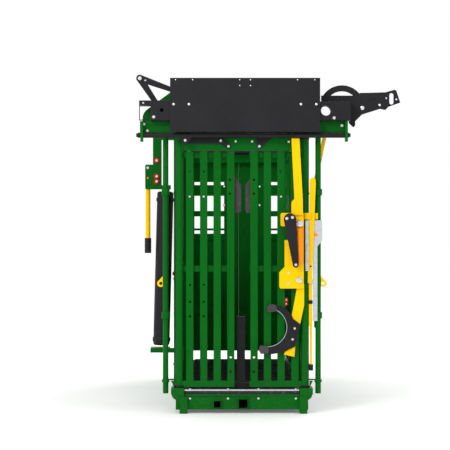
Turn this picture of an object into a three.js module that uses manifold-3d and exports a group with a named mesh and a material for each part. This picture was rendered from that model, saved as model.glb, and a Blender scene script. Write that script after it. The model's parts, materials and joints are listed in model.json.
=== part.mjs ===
// Cattle squeeze chute: base and floor, posts and rails, swinging head gate with a head holder,
// parallel squeeze walls with fold-down side panels, neck gates and a tail gate in two leaves.
// Millimetres. +X is to the right seen from the head gate, +Y runs to the tail gate, +Z is up.
// The origin is on the ground, under the pad in the middle of the base.
import * as THREE from "three";
import { mergeVertices } from "three/addons/utils/BufferGeometryUtils.js";
import Module from "manifold-3d";

const wasm = await Module();
wasm.setup();

// ---- Driving dimensions -------------------------------------------------------------------
const FRONT = -1400; // front face of the head gate's slats
const REAR = 1400; // rear face of the base
const GAP = 0.3; // clearance between pieces that touch

const BASE_HALF = 449; // half width of base and floor
const SKID_BOTTOM = 26; // the beams hang this far above the ground, on feet
const BEAM_TOP = 113;
const DECK_TOP = 128;
const MAT_TOP = 150;
const BEAM_DEPTH = 80;

const POST = 50; // square posts and top rails
const POST_INNER = 424;
const MIDDLE_POST_Y = -990;
const REAR_POST_Y = 1350;
const TAIL_HINGE = { x: 440, y: 1429, pin: 9 };
const TAIL_HINGE_ZS = [300, 980, 1640];
const TAIL_MEET = 0.2; // half the gap where the two leaves meet
const TAIL_STILE = { left: 123, right: 190 }; // outer edges of the wide middle stiles
const RAIL_BOTTOM = 1900;
const RAIL_TOP = 1960;

const HINGE_X = 426; // door hinge axes, left and right of the middle
const HINGE_Y = FRONT + 15;
const HINGE_RADIUS = 25;
const SLAT_WIDTH = 50;
const SLAT_DEPTH = 28;
// Slat centres, and the neck pads' inner edges, from the middle of the gate.
const SLAT_OFFSETS = { left: [76, 168, 260, 355], right: [83, 174, 266, 361] };
const PAD_INNER = { left: 2, right: 22 };
const DOOR_BOTTOM = 176;
const DOOR_TOP = 1778;

const SIDE_TUBE_X = 520;
const SIDE_TUBE_Y = -1360;
const SIDE_TUBE_RADIUS = 19;

const HEADER_ENDS = [-690, 706];
const TOP_LEVER_HUB = { x: 678, z: 2072 };
const TOP_CRANK_HUB = { x: -440, z: 2170 };
const TOP_PIN_RADIUS = 12;
const PIN_PLAY = 1.2;
const HEADER_TOP = 1980;
const HEADER_FRONT = FRONT - 70;
const SHAFT_Y = FRONT - 92;
const SHAFT_Z = 1884;
const SHAFT_RADIUS = 18;

const YOKE_PIVOT = { x: 386, z: 906 }; // head holder's lower pivot
const WALL_OUTER = 420; // squeeze walls, wide open
const WALL_INNER = 380;
const WALL_FRONT = -930;
const WALL_REAR = 1290;
const WALL_BOTTOM = 165;
const WALL_TOP = 1850;
const PANEL_TOP = 995;
const PANEL_BOTTOM = 205;
const PANEL_FRONT = -815;
const PANEL_REAR = 1270;
const GUIDE_Z = 1880;
const GUIDE_RADIUS = 18;
const GUIDE_YS = { front: -880, rear: 1240 };

const SIDES = { left: -1, right: 1 };

const FINISHES = {
  greenPaint: { color: 0x0a6a2c, roughness: 0.35, metalness: 0.1 },
  yellowPaint: { color: 0xf7d700, roughness: 0.35, metalness: 0.05 },
  orangePaint: { color: 0xf79a10, roughness: 0.4, metalness: 0.05 },
  blackCoat: { color: 0x2c2b31, roughness: 0.55, metalness: 0.1 },
  zincSteel: { color: 0xc8cdd2, roughness: 0.35, metalness: 0.9 },
  blackRubber: { color: 0x1c1c1e, roughness: 0.85, metalness: 0 },
  padRubber: { color: 0x463e42, roughness: 0.8, metalness: 0 },
};

// ---- Solids -------------------------------------------------------------------------------
// A closed geometry as a solid that can be joined and cut.
function solidOf(geometry) {
  const bare = geometry.index ? geometry.toNonIndexed() : geometry.clone();
  bare.deleteAttribute("normal");
  bare.deleteAttribute("uv");
  const merged = mergeVertices(bare, 1e-3);
  return new wasm.Manifold(
    new wasm.Mesh({
      numProp: 3,
      vertProperties: merged.attributes.position.array,
      triVerts: new Uint32Array(merged.index.array),
    }),
  );
}

function geometryOf(solid) {
  const mesh = solid.getMesh();
  const geometry = new THREE.BufferGeometry();
  geometry.setAttribute("position", new THREE.BufferAttribute(mesh.vertProperties, 3));
  geometry.setIndex(new THREE.BufferAttribute(mesh.triVerts, 1));
  geometry.computeVertexNormals();
  return geometry;
}

function block([x0, x1], [y0, y1], [z0, z1]) {
  const geometry = new THREE.BoxGeometry(x1 - x0, y1 - y0, z1 - z0);
  geometry.translate((x0 + x1) / 2, (y0 + y1) / 2, (z0 + z1) / 2);
  return solidOf(geometry);
}

// A round bar along one axis; centre is its place on the other two, in X, Y, Z order.
function rod(axis, radius, [from, to], [u, v], sides = 16) {
  const geometry = new THREE.CylinderGeometry(radius, radius, to - from, sides);
  const middle = (from + to) / 2;
  if (axis === "x") geometry.rotateZ(-Math.PI / 2).translate(middle, u, v);
  if (axis === "y") geometry.translate(u, middle, v);
  if (axis === "z") geometry.rotateX(Math.PI / 2).translate(u, v, middle);
  return solidOf(geometry);
}

// A flat plate that faces the front: an outline in X and Z, thick along Y.
function plate(outline, [y0, y1]) {
  const shape = outline instanceof THREE.Shape
    ? outline
    : new THREE.Shape(outline.map(([x, z]) => new THREE.Vector2(x, z)));
  const geometry = new THREE.ExtrudeGeometry(shape, {
    depth: y1 - y0,
    bevelEnabled: false,
    curveSegments: 7,
  });
  geometry.rotateX(Math.PI / 2).translate(0, y1, 0);
  return solidOf(geometry);
}

// The outline of a bar with round ends of two radii, from one point to another.
function barOutline([x0, z0], r0, [x1, z1], r1) {
  const along = Math.atan2(z1 - z0, x1 - x0);
  const turn = Math.acos((r0 - r1) / Math.hypot(x1 - x0, z1 - z0));
  const shape = new THREE.Shape();
  shape.absarc(x0, z0, r0, along + turn, along - turn + 2 * Math.PI, false);
  shape.absarc(x1, z1, r1, along - turn, along + turn, false);
  return shape;
}

// A rectangle with round corners.
function roundedBox([x0, x1], [z0, z1], radius) {
  const shape = new THREE.Shape();
  shape.absarc(x1 - radius, z0 + radius, radius, -Math.PI / 2, 0, false);
  shape.absarc(x1 - radius, z1 - radius, radius, 0, Math.PI / 2, false);
  shape.absarc(x0 + radius, z1 - radius, radius, Math.PI / 2, Math.PI, false);
  shape.absarc(x0 + radius, z0 + radius, radius, Math.PI, 1.5 * Math.PI, false);
  return shape;
}

const join = (...solids) => solids.reduce((whole, piece) => whole.add(piece));
const cut = (whole, ...pieces) => pieces.reduce((rest, piece) => rest.subtract(piece), whole);

// The range from inner to outer, measured from the middle towards one side.
const outward = (side, inner, outer) => (side > 0 ? [inner, outer] : [-outer, -inner]);
const around = (centre, half) => [centre - half, centre + half];

function addNode(parent, name, solid, finish) {
  const material = new THREE.MeshStandardMaterial(FINISHES[finish]);
  const mesh = new THREE.Mesh(geometryOf(solid), material);
  mesh.name = name;
  parent.add(mesh);
}

function groupAt(parent, x, y, z) {
  const group = new THREE.Group();
  group.position.set(x, y, z);
  parent.add(group);
  return group;
}

const chute = new THREE.Group();

// ---- Base and floor -----------------------------------------------------------------------
const RECEIVERS = [
  { x: -168, z: 62, half: 33, bore: 25 },
  { x: 8, z: 66, half: 40, bore: 32 },
];
const FOOT_X = { left: -396, right: 417 };
const FOOT_HALF = 26;
const RECEIVER_PROUD = 10;

function addBase() {
  const front = [FRONT - 20, FRONT - 20 + BEAM_DEPTH];
  const beam = block([-BASE_HALF, BASE_HALF], front, [SKID_BOTTOM, BEAM_TOP]);
  const feet = Object.values(FOOT_X).map((x) => {
    const inner = x > 0 ? [x - FOOT_HALF, 391.7] : [-391.7, x + FOOT_HALF];
    const shoe = block(around(x, FOOT_HALF), front, [0, SKID_BOTTOM + 4]);
    const face = block(around(x, FOOT_HALF), [FRONT - 54, FRONT - 40 - GAP], [0, 112]);
    const neck = block(inner, [FRONT - 50, FRONT], [0, 112]);
    const toe = block(around(x, FOOT_HALF), [FRONT - 54, FRONT], [0, SKID_BOTTOM - 4]);
    return join(shoe, face, neck, toe);
  });
  const reach = [FRONT - 20 - RECEIVER_PROUD, front[1]];
  const sleeves = RECEIVERS.map(({ x, z, half }) => block(around(x, half), reach, around(z, half)));
  const bores = RECEIVERS.map(({ x, z, bore }) =>
    block(around(x, bore), [reach[0] - 5, reach[1] + 5], around(z, bore)),
  );
  addNode(chute, "base_front_beam", cut(join(beam, ...feet, ...sleeves), ...bores), "greenPaint");

  const rear = [REAR - BEAM_DEPTH, REAR];
  const rearFeet = Object.values(SIDES).map((side) =>
    block(around(side * 395, 30), rear, [0, SKID_BOTTOM + 4]),
  );
  const rearBeam = block([-BASE_HALF, BASE_HALF], rear, [SKID_BOTTOM, BEAM_TOP]);
  addNode(chute, "base_rear_beam", join(rearBeam, ...rearFeet), "greenPaint");

  const middle = block([-371 + GAP, 371 - GAP], [-40, 40], [SKID_BOTTOM, BEAM_TOP]);
  const pad = block([-70, 70], [-70, 70], [0, SKID_BOTTOM + 4]);
  addNode(chute, "base_middle_beam", join(middle, pad), "greenPaint");

  for (const [name, side] of Object.entries(SIDES)) {
    const along = [front[1] + GAP, rear[0] - GAP];
    const rail = block(outward(side, 371, 431), along, [SKID_BOTTOM, BEAM_TOP]);
    addNode(chute, "skid_rail_" + name, rail, "greenPaint");
  }

  const deckY = [FRONT - 20, REAR];
  const deck = block([-BASE_HALF, BASE_HALF], deckY, [BEAM_TOP + GAP, DECK_TOP]);
  addNode(chute, "floor_deck", deck, "greenPaint");

  const ribPitch = 125;
  const mat = [block([-391, 391], [FRONT - 14, REAR - 40], [DECK_TOP + GAP, MAT_TOP])];
  for (let y = -1210; y < REAR - 60; y += ribPitch) {
    mat.push(block([-365, 365], [y, y + 34], [MAT_TOP - 2, MAT_TOP + 9]));
  }
  addNode(chute, "floor_mat", join(...mat), "blackRubber");

  const strip = block([-391, 391], [FRONT - 12, FRONT + 10], [MAT_TOP + GAP, MAT_TOP + 11]);
  addNode(chute, "sill_strip", strip, "zincSteel");
}

// ---- Posts and rails ----------------------------------------------------------------------
function addPosts() {
  for (const [name, side] of Object.entries(SIDES)) {
    // The lower door bearing and the front post are one weldment.
    const shelf = block(outward(side, 394, 481), [FRONT - 40, -1262], [DECK_TOP + GAP, 171]);
    const face = block(outward(side, 393, 449), [FRONT - 40, FRONT - 20 - GAP], [SKID_BOTTOM, 171]);
    const cheek = rod("y", 40, [FRONT - 40, FRONT - 24], [side * 437, 131], 20);
    const post = block(outward(side, 402, 446), [-1352, -1292], [DECK_TOP + 10, RAIL_BOTTOM - GAP]);
    const stubOutline = [[460, 168], [462, 176], [482, 217], [460, 217]];
    const stub = plate(
      stubOutline.map(([x, z]) => [side * x, z]),
      [FRONT, FRONT + SLAT_DEPTH],
    );
    addNode(chute, "hinge_post_" + name, join(shelf, face, cheek, post, stub), "greenPaint");

    const tube = rod("z", SIDE_TUBE_RADIUS, [130, RAIL_BOTTOM - GAP], [side * SIDE_TUBE_X, SIDE_TUBE_Y]);
    const collar = rod("z", SIDE_TUBE_RADIUS + 6, [206, 226], [side * SIDE_TUBE_X, SIDE_TUBE_Y]);
    const stay = rod("x", 5, outward(side, 453, 510), [SIDE_TUBE_Y, 224], 8);
    addNode(chute, "side_tube_" + name, join(tube, collar, stay), "greenPaint");

    const ringX = side * (SIDE_TUBE_X + 33);
    const tubeEdge = side * (SIDE_TUBE_X + SIDE_TUBE_RADIUS + GAP);
    const web = [
      [ringX, 856],
      [ringX + side * 20, 892],
      [tubeEdge, 930],
      [tubeEdge, 862],
    ];
    const ringY = around(SIDE_TUBE_Y, 5);
    const ring = join(
      rod("y", 25, ringY, [ringX, 880], 20),
      plate(side > 0 ? web : web.reverse(), ringY),
    );
    const clearX = outward(side, 500, SIDE_TUBE_X + SIDE_TUBE_RADIUS + GAP);
    const clear = block(clearX, [-1400, -1300], [800, 990]);
    const eye = rod("y", 11, around(SIDE_TUBE_Y, 9), [ringX, 880], 14);
    addNode(chute, "tie_ring_" + name, cut(ring, eye, clear), "yellowPaint");

    const postX = outward(side, POST_INNER, POST_INNER + POST);
    const middle = block(postX, around(MIDDLE_POST_Y, 30), [DECK_TOP + GAP, RAIL_BOTTOM - GAP]);
    const arm = join(
      block([-640, -POST_INNER], [MIDDLE_POST_Y, CANISTER.y - 68], [380, 412]),
      block([-640, -505], [CANISTER.y - 70, CANISTER.y + 60], [380, 412]),
    );
    addNode(chute, "middle_post_" + name, side < 0 ? join(middle, arm) : middle, "greenPaint");

    const hingeBlocks = TAIL_HINGE_ZS.map((z) =>
      block(outward(side, 428, 452), [1378, TAIL_HINGE.y + 9], [z - 16, z - GAP]),
    );
    const hingePins = TAIL_HINGE_ZS.map((z) =>
      rod("z", TAIL_HINGE.pin, [z - 10, z + 50], [side * TAIL_HINGE.x, TAIL_HINGE.y], 14),
    );
    const rear = join(
      block(postX, around(REAR_POST_Y, 30), [DECK_TOP + GAP, 1800 - GAP]),
      ...hingeBlocks,
      ...hingePins,
    );
    addNode(chute, "rear_post_" + name, rear, "greenPaint");

    const rail = block(postX, [FRONT + 65 + GAP, 1320 - GAP], [RAIL_BOTTOM, RAIL_TOP]);
    addNode(chute, "top_rail_" + name, rail, "greenPaint");
  }
  for (const [name, y] of Object.entries(GUIDE_YS)) {
    const reach = POST_INNER + POST;
    const tube = rod("x", GUIDE_RADIUS, [-reach, reach], [y, GUIDE_Z], 20);
    addNode(chute, "guide_tube_" + name, tube, "zincSteel");
  }
}

// ---- Header, sign and upper levers --------------------------------------------------------
function addHeader() {
  const y = [HEADER_FRONT, FRONT + 65];
  const beam = block(HEADER_ENDS, y, [RAIL_BOTTOM, HEADER_TOP]);
  const crossPlate = block([-394, 394], [FRONT - 12, FRONT - 4], [1784, RAIL_BOTTOM + 5]);
  const lip = block([-394, 394], [FRONT - 12, FRONT], [1784, 1790]);
  const bearings = Object.values(SIDES).flatMap((side) => [
    block(around(side > 0 ? 704 : -676, 9), [HEADER_FRONT - 50, HEADER_FRONT + 5], [1840, HEADER_TOP - 4]),
    rod("z", 14, [1878, RAIL_BOTTOM + 5], [side * HINGE_X, HINGE_Y], 12),
  ]);
  const gusset = new THREE.Shape();
  gusset.moveTo(-400, HEADER_TOP - 10);
  gusset.lineTo(-400, 2242);
  gusset.lineTo(-641, 2064);
  gusset.quadraticCurveTo(-675, 2040, -675, 2000);
  gusset.lineTo(-675, HEADER_TOP - 10);
  const shaftHole = rod("x", SHAFT_RADIUS + 1.5, [-740, 740], [SHAFT_Y, SHAFT_Z], 16);
  const crankBore = rod(
    "y",
    TOP_PIN_RADIUS + PIN_PLAY,
    [FRONT - 30, FRONT - 12],
    [TOP_CRANK_HUB.x, TOP_CRANK_HUB.z],
    14,
  );
  const header = cut(
    join(beam, crossPlate, lip, ...bearings, plate(gusset, [FRONT - 24, FRONT - 18])),
    shaftHole,
    crankBore,
  );
  addNode(chute, "header_beam", header, "greenPaint");

  const sign = block([-484, 524], [FRONT - 156, FRONT - 148], [1904, 2266]);
  addNode(chute, "sign_panel", sign, "blackCoat");

  const boxY = [FRONT - 147, FRONT - 40];
  const leftBox = join(
    block([-614, -330], boxY, [HEADER_TOP + GAP, 2084]),
    block([-692, -330], boxY, [2081, 2115]),
    block([-692, -687], [FRONT - 147, FRONT - 135], [HEADER_TOP + GAP, 2110]),
    block([-692, -610], [FRONT - 147, FRONT - 135], [HEADER_TOP + GAP, HEADER_TOP + 6]),
  );
  const leftHole = rod("y", 13, [boxY[0] - 5, boxY[1] + 5], [-540, 2050], 14);
  addNode(chute, "header_box_left", cut(leftBox, leftHole), "blackCoat");
  const rightBox = join(
    block([330, 729], boxY, [HEADER_TOP + GAP, 2108]),
    block([400, 720], [FRONT - 39, FRONT - 32], [HEADER_TOP + GAP, 2100]),
    block([400, 720], [FRONT - 45, FRONT - 32], [HEADER_TOP + GAP, HEADER_TOP + 20]),
  );
  const rightHole = rod("y", 34, [boxY[0] - 5, FRONT - 20], [564, 2047], 20);
  const leverBore = rod(
    "y",
    TOP_PIN_RADIUS + PIN_PLAY,
    [FRONT - 39.5, FRONT - 20],
    [TOP_LEVER_HUB.x, TOP_LEVER_HUB.z],
    14,
  );
  addNode(chute, "header_box_right", cut(rightBox, rightHole, leverBore), "blackCoat");

  const rearHeader = join(
    block([-474, 474], [1320, 1332], [1800, 1940]),
    block([-474, 474], [1320, 1400], [1928, 1940]),
    block([-474, 474], [1320, 1400], [1800, 1812]),
  );
  addNode(chute, "rear_header", rearHeader, "greenPaint");
}

function addTopLever() {
  const arm = groupAt(chute, TOP_LEVER_HUB.x, FRONT - 30, TOP_LEVER_HUB.z);
  const y = [-1.2, 11];
  const through = [y[0] - 5, y[1] + 5];
  const hoop = cut(
    rod("y", 154, y, [0, 0], 36),
    rod("y", 113, through, [0, 0], 28),
    block([-200, 200], through, [-200, 56]),
  );
  const crossbar = block([-141, 128], y, [38, 84]);
  const blade = plate(
    [
      [-30, 60], [-34, -30], [-10, -62], [47, -80], [47, -103], [78, -132], [91, -118], [90, -91],
      [136, -45], [260, -6], [295, -14], [314, 7], [396, 36], [369, 118], [357, 124], [295, 106],
      [124, 102], [60, 66],
    ],
    y,
  );
  const slot = plate(roundedBox([322, 350], [24, 100], 13), through);
  const pin = rod("y", TOP_PIN_RADIUS, [-8.5, 1], [0, 0], 14);
  addNode(arm, "top_lever", cut(join(hoop, crossbar, blade, pin), slot), "blackCoat");
}

function addTopCrank() {
  const crank = groupAt(chute, TOP_CRANK_HUB.x, FRONT - 30, TOP_CRANK_HUB.z);
  const y = [-9.5, 2.5];
  const eye = [-253, 103];
  const heel = [-132, -80];
  const legs = join(
    plate(barOutline(eye, 24, [0, 12], 15), y),
    plate(barOutline(eye, 24, heel, 17), y),
    plate(barOutline(heel, 17, [-22, -80], 15), y),
    plate(barOutline([-22, -80], 15, [0, 0], 18), y),
    rod("y", 30, y, [0, 0], 20),
    rod("y", TOP_PIN_RADIUS, [2, 13], [0, 0], 14),
  );
  addNode(crank, "top_crank", cut(legs, rod("y", 13, [y[0] - 5, y[1] + 5], eye, 10)), "blackCoat");
}

// ---- Head gate ----------------------------------------------------------------------------
// Bolt holes: distance from the middle of the gate and height.
const DOOR_HOLES = {
  left: [
    [353, 870], [353, 755], [353, 657], [353, 1642],
    [260, 870], [260, 755], [260, 657], [260, 1642],
    [82, 1585], [82, 1491], [76, 377], [76, 279],
  ],
  right: [
    [82, 1585], [82, 1491], [82, 377], [82, 279], [260, 1642], [260, 720],
  ],
};
const PAD_TOP = 1612;
const PAD_BOTTOM = 1357;

function addDoors() {
  for (const [name, side] of Object.entries(SIDES)) {
    // Local x runs from the hinge axis; the middle of the gate is at -side * HINGE_X.
    const door = groupAt(chute, side * HINGE_X, HINGE_Y, 0);
    const span = (inner, outer) => outward(side, inner - HINGE_X, outer - HINGE_X);
    const y = [FRONT - HINGE_Y, FRONT - HINGE_Y + SLAT_DEPTH];
    const slats = SLAT_OFFSETS[name].map((x) =>
      block(span(x - SLAT_WIDTH / 2, x + SLAT_WIDTH / 2), y, [DOOR_BOTTOM + 20, DOOR_TOP]),
    );
    const sill = block(span(51, HINGE_X), [y[0], y[1] + 2], [DOOR_BOTTOM, 217]);
    const head = block(span(51, HINGE_X), [y[1] - 2, y[1] + 18], [DOOR_TOP - 42, DOOR_TOP - 2]);
    const waist = block(span(51, HINGE_X), [y[1] - 2, y[1] + 10], [960, 1000]);
    const pivot = rod("z", HINGE_RADIUS, [174, 1876], [0, 0], 20);
    const holes = DOOR_HOLES[name].map(([x, z]) =>
      rod("y", 8, [y[0] - 5, y[1] + 25], [side * (x - HINGE_X), z], 8),
    );
    addNode(door, "door_" + name, cut(join(...slats, sill, head, waist, pivot), ...holes), "greenPaint");

    const inner = PAD_INNER[name];
    const padOutline = [[inner, PAD_BOTTOM + 14], [inner + 14, PAD_BOTTOM], [122, PAD_BOTTOM],
      [122, PAD_TOP], [inner + 46, PAD_TOP], [inner, PAD_TOP - 62]];
    const pad = plate(
      padOutline.map(([x, z]) => [side * (x - HINGE_X), z]),
      [y[1] + GAP, y[1] + 54],
    );
    addNode(door, "neck_pad_" + name, pad, "padRubber");
  }

  const postX = -6;
  const chinPost = join(
    block(around(postX, 28), [-1341, -1287], [MAT_TOP + 4, 596]),
    block(around(postX, 31), [-1344, -1284], [590, 652]),
    block([-60, 48], [-1346, -1282], [MAT_TOP + GAP, 200]),
  );
  addNode(chute, "chin_post", chinPost, "blackCoat");
}

function addLinkage() {
  const shaft = groupAt(chute, 0, SHAFT_Y, SHAFT_Z);
  const bar = rod("x", SHAFT_RADIUS, [-702, 720], [0, 0], 16);
  const caps = [[-714, -700], [718, 732]].map((ends) => rod("x", SHAFT_RADIUS - 5, ends, [0, 0], 12));
  const throwPlate = plate(
    [[-452, 12], [-452, -14], [-412, -26], [-405, -52], [-385, -62], [-363, -52], [-340, -10], [-340, 12]],
    [-13, 13],
  );
  const rightThrow = plate([[112, 10], [112, -16], [240, -16], [240, 10]], [-13, 13]);
  addNode(shaft, "torque_shaft", join(bar, ...caps, throwPlate, rightThrow), "blackCoat");

  const leftLink = join(
    plate(barOutline([-384, 1851], 20, [-144, 1851], 21), [FRONT - 26, FRONT - 14]),
    plate(barOutline([-144, 1851], 21, [-91, 1812], 15), [FRONT - 26, FRONT - 14]),
  );
  addNode(chute, "gate_link_left", leftLink, "blackCoat");
  const rightLink = plate(
    [[98, 1896], [98, 1838], [106, 1803], [118, 1796], [130, 1804], [232, 1896]],
    [FRONT - 26, FRONT - 14],
  );
  addNode(chute, "gate_link_right", rightLink, "blackCoat");
}

// ---- Head holder, carried by the right door -----------------------------------------------
function addHolder() {
  // Local origin: the lower pivot, on the plane of the slats' front faces.
  const holder = groupAt(chute, YOKE_PIVOT.x, FRONT, YOKE_PIVOT.z);
  const plateY = [-56, -48];
  const plateOutline = [
    [-133, -50], [-125, -58], [32, -58], [32, 454], [-117, 454], [-125, 446], [-125, 371],
    [-117, 363], [-60, 363], [-60, 270], [-98, 270], [-98, 89], [-133, 52],
  ];
  const pads = [[-31, 409], [-31, 178], [-114, 409]].map(([x, z]) =>
    block(around(x, x < -100 ? 10 : 20), [-48 - 2, -GAP], around(z, 24)),
  );
  const pinHole = rod("y", 13, [-70, -30], [0, 0], 16);
  addNode(holder, "holder_plate", cut(join(plate(plateOutline, plateY), ...pads), pinHole), "yellowPaint");

  const arm = plate(
    [[-52, 440], [26, 440], [24, 551], [2, 958], [-52, 958], [-32, 551], [-50, 528], [-52, 500]],
    [-78, -56 - GAP],
  );
  addNode(holder, "holder_arm", arm, "yellowPaint");

  const strut = join(
    rod("z", 25, [118, 346], [6, -83.5], 18),
    block(around(6, 20), [-84, -56 - GAP], [118, 138]),
    block(around(6, 20), [-84, -56 - GAP], [334, 354]),
  );
  addNode(holder, "holder_strut", strut, "orangePaint");

  const link = join(
    plate(barOutline([-63, 410], 42, [-24, 104], 20), [-122, -110]),
    ...[[-85, 416], [-47, 423], [-24, 104]].map((at) => rod("y", 11, [-111, -56 - GAP], at, 12)),
  );
  addNode(holder, "holder_link", link, "blackCoat");

  const shank = plate(
    [[-20, 0], [-14, 14], [0, 20], [14, 14], [20, 0], [20, -28], [36, -28], [36, -171], [9, -298],
      [-24, -449], [-31, -522], [-102, -506], [-86, -476], [-48, -243], [-14, -58], [-20, -30]],
    [-34, -12.8],
  );
  const pin = rod("y", 12, [-66, -20], [0, 0], 14);
  const washer = rod("y", 22, [-68, -57], [0, 0], 20);
  addNode(holder, "yoke_arm", join(shank, pin, washer), "yellowPaint");

  const inner = { x: -214, z: -321, r: 134 };
  const outer = { x: -191, z: -334, r: 170 };
  const crescent = new THREE.Shape();
  const degrees = Math.PI / 180;
  crescent.absarc(outer.x, outer.z, outer.r, -118 * degrees, 95 * degrees, false);
  crescent.absarc(inner.x, inner.z, inner.r, 78 * degrees, -104 * degrees, true);
  const lug = [[-62, -246], [9, -300], [-24, -451], [-96, -486], [-86, -346]];
  const yokeY = [-45.5, -34 - GAP];
  addNode(holder, "head_yoke", join(plate(crescent, yokeY), plate(lug.reverse(), yokeY)), "blackCoat");
}

// ---- Hand levers --------------------------------------------------------------------------
const LEVER_PIVOT = { x: 466, z: 892, pin: 6 };
const SQUEEZE_PIVOT = { x: -661, z: 1683 };
const CANISTER = { x: -537, y: -890, top: 1528, bottom: 427, radius: 58, lean: 0.027 };

function addLevers() {
  const lever = groupAt(chute, LEVER_PIVOT.x, FRONT, LEVER_PIVOT.z);
  const blade = plate(
    [[-19, -8], [11, -8], [14, 105], [36, 665], [34, 695], [22, 708], [8, 708], [-4, 695], [-6, 665],
      [-10.5, 250], [-19, 238]],
    [-12, -1],
  );
  const leverPin = rod("y", LEVER_PIVOT.pin, [-2, 7.5], [0, 0], 14);
  addNode(lever, "release_lever", join(blade, leverPin), "yellowPaint");

  const releaseRod = join(
    block([455.5, 478], [FRONT + 8.5, FRONT + 17], [590, 883]),
    rod("z", 8, [318, 592], [470, FRONT + 11], 10),
    rod("z", 11, [290, 332], [470, FRONT + 11], 12),
  );
  addNode(chute, "release_rod", releaseRod, "yellowPaint");

  const bracket = join(
    block([452.3, 517], [FRONT + 10, FRONT + 16], [1316, 1360]),
    block([452.3, 454.7], [FRONT - 23, FRONT + 16], [1316, 1360]),
    block([424, 470], [FRONT - 23, FRONT - 17], [1316, 1360]),
  );
  addNode(chute, "lever_bracket", bracket, "yellowPaint");

  const ratchet = join(
    plate(
      [[452.3, 1150], [480, 1150], [483, 1142], [483, 625], [514, 625], [514, 1134], [546, 1172],
        [546, 1310], [452.3, 1310]],
      [FRONT + 2, FRONT + 8],
    ),
    block([452.3, 454.7], [FRONT - 20, FRONT + 8], [1150, 1310]),
    block([430, 454.7], [FRONT - 20, FRONT - 14], [965, 1310]),
    block([454, 486], [FRONT + 2, FRONT + 8], around(LEVER_PIVOT.z, 16)),
  );
  const leverBore = rod(
    "y",
    LEVER_PIVOT.pin + PIN_PLAY,
    [FRONT - 2, FRONT + 12],
    [LEVER_PIVOT.x, LEVER_PIVOT.z],
    14,
  );
  addNode(chute, "ratchet_plate", cut(ratchet, leverBore), "zincSteel");

  const strap = plate(barOutline([565, 1880], 13, [507, 1592], 13), [-1337, -1329]);
  addNode(chute, "latch_strap", strap, "yellowPaint");

  const squeeze = groupAt(chute, SQUEEZE_PIVOT.x, CANISTER.y, SQUEEZE_PIVOT.z);
  const handle = join(
    rod("z", 17, [-600, 22], [0, 0], 16),
    rod("z", 20, [-604, -497], [0, 0], 16),
  );
  addNode(squeeze, "squeeze_lever", handle, "yellowPaint");

  const y = CANISTER.y;
  const mount = join(
    block([-625, -POST_INNER - POST - GAP], [y - 28, y + 28], [1880, 1945]),
    block([-625, -565], [y - 28, y - 18], [1556, 1885]),
    block([-625, -565], [y + 18, y + 28], [1556, 1885]),
    block([-640, -500], [y - 28, y + 28], [1531, 1560]),
    plate(roundedBox([-680, -620], [1531, 1706], 10), [y - 28, y - 19]),
  );
  addNode(chute, "lever_mount", mount, "greenPaint");

  const { top, bottom, radius } = CANISTER;
  const height = top - bottom;
  const canister = groupAt(chute, CANISTER.x, y, top);
  canister.rotation.y = CANISTER.lean;
  const profile = [[0, -height], [radius - 8, -height], [radius, -height + 10], [radius, -26],
    [radius - 8, -14], [26, -12], [26, -4], [0, -4]];
  const lathe = new THREE.LatheGeometry(profile.map(([r, z]) => new THREE.Vector2(r, z)), 24);
  lathe.rotateX(Math.PI / 2);
  addNode(canister, "canister", solidOf(lathe), "blackCoat");
}

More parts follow.
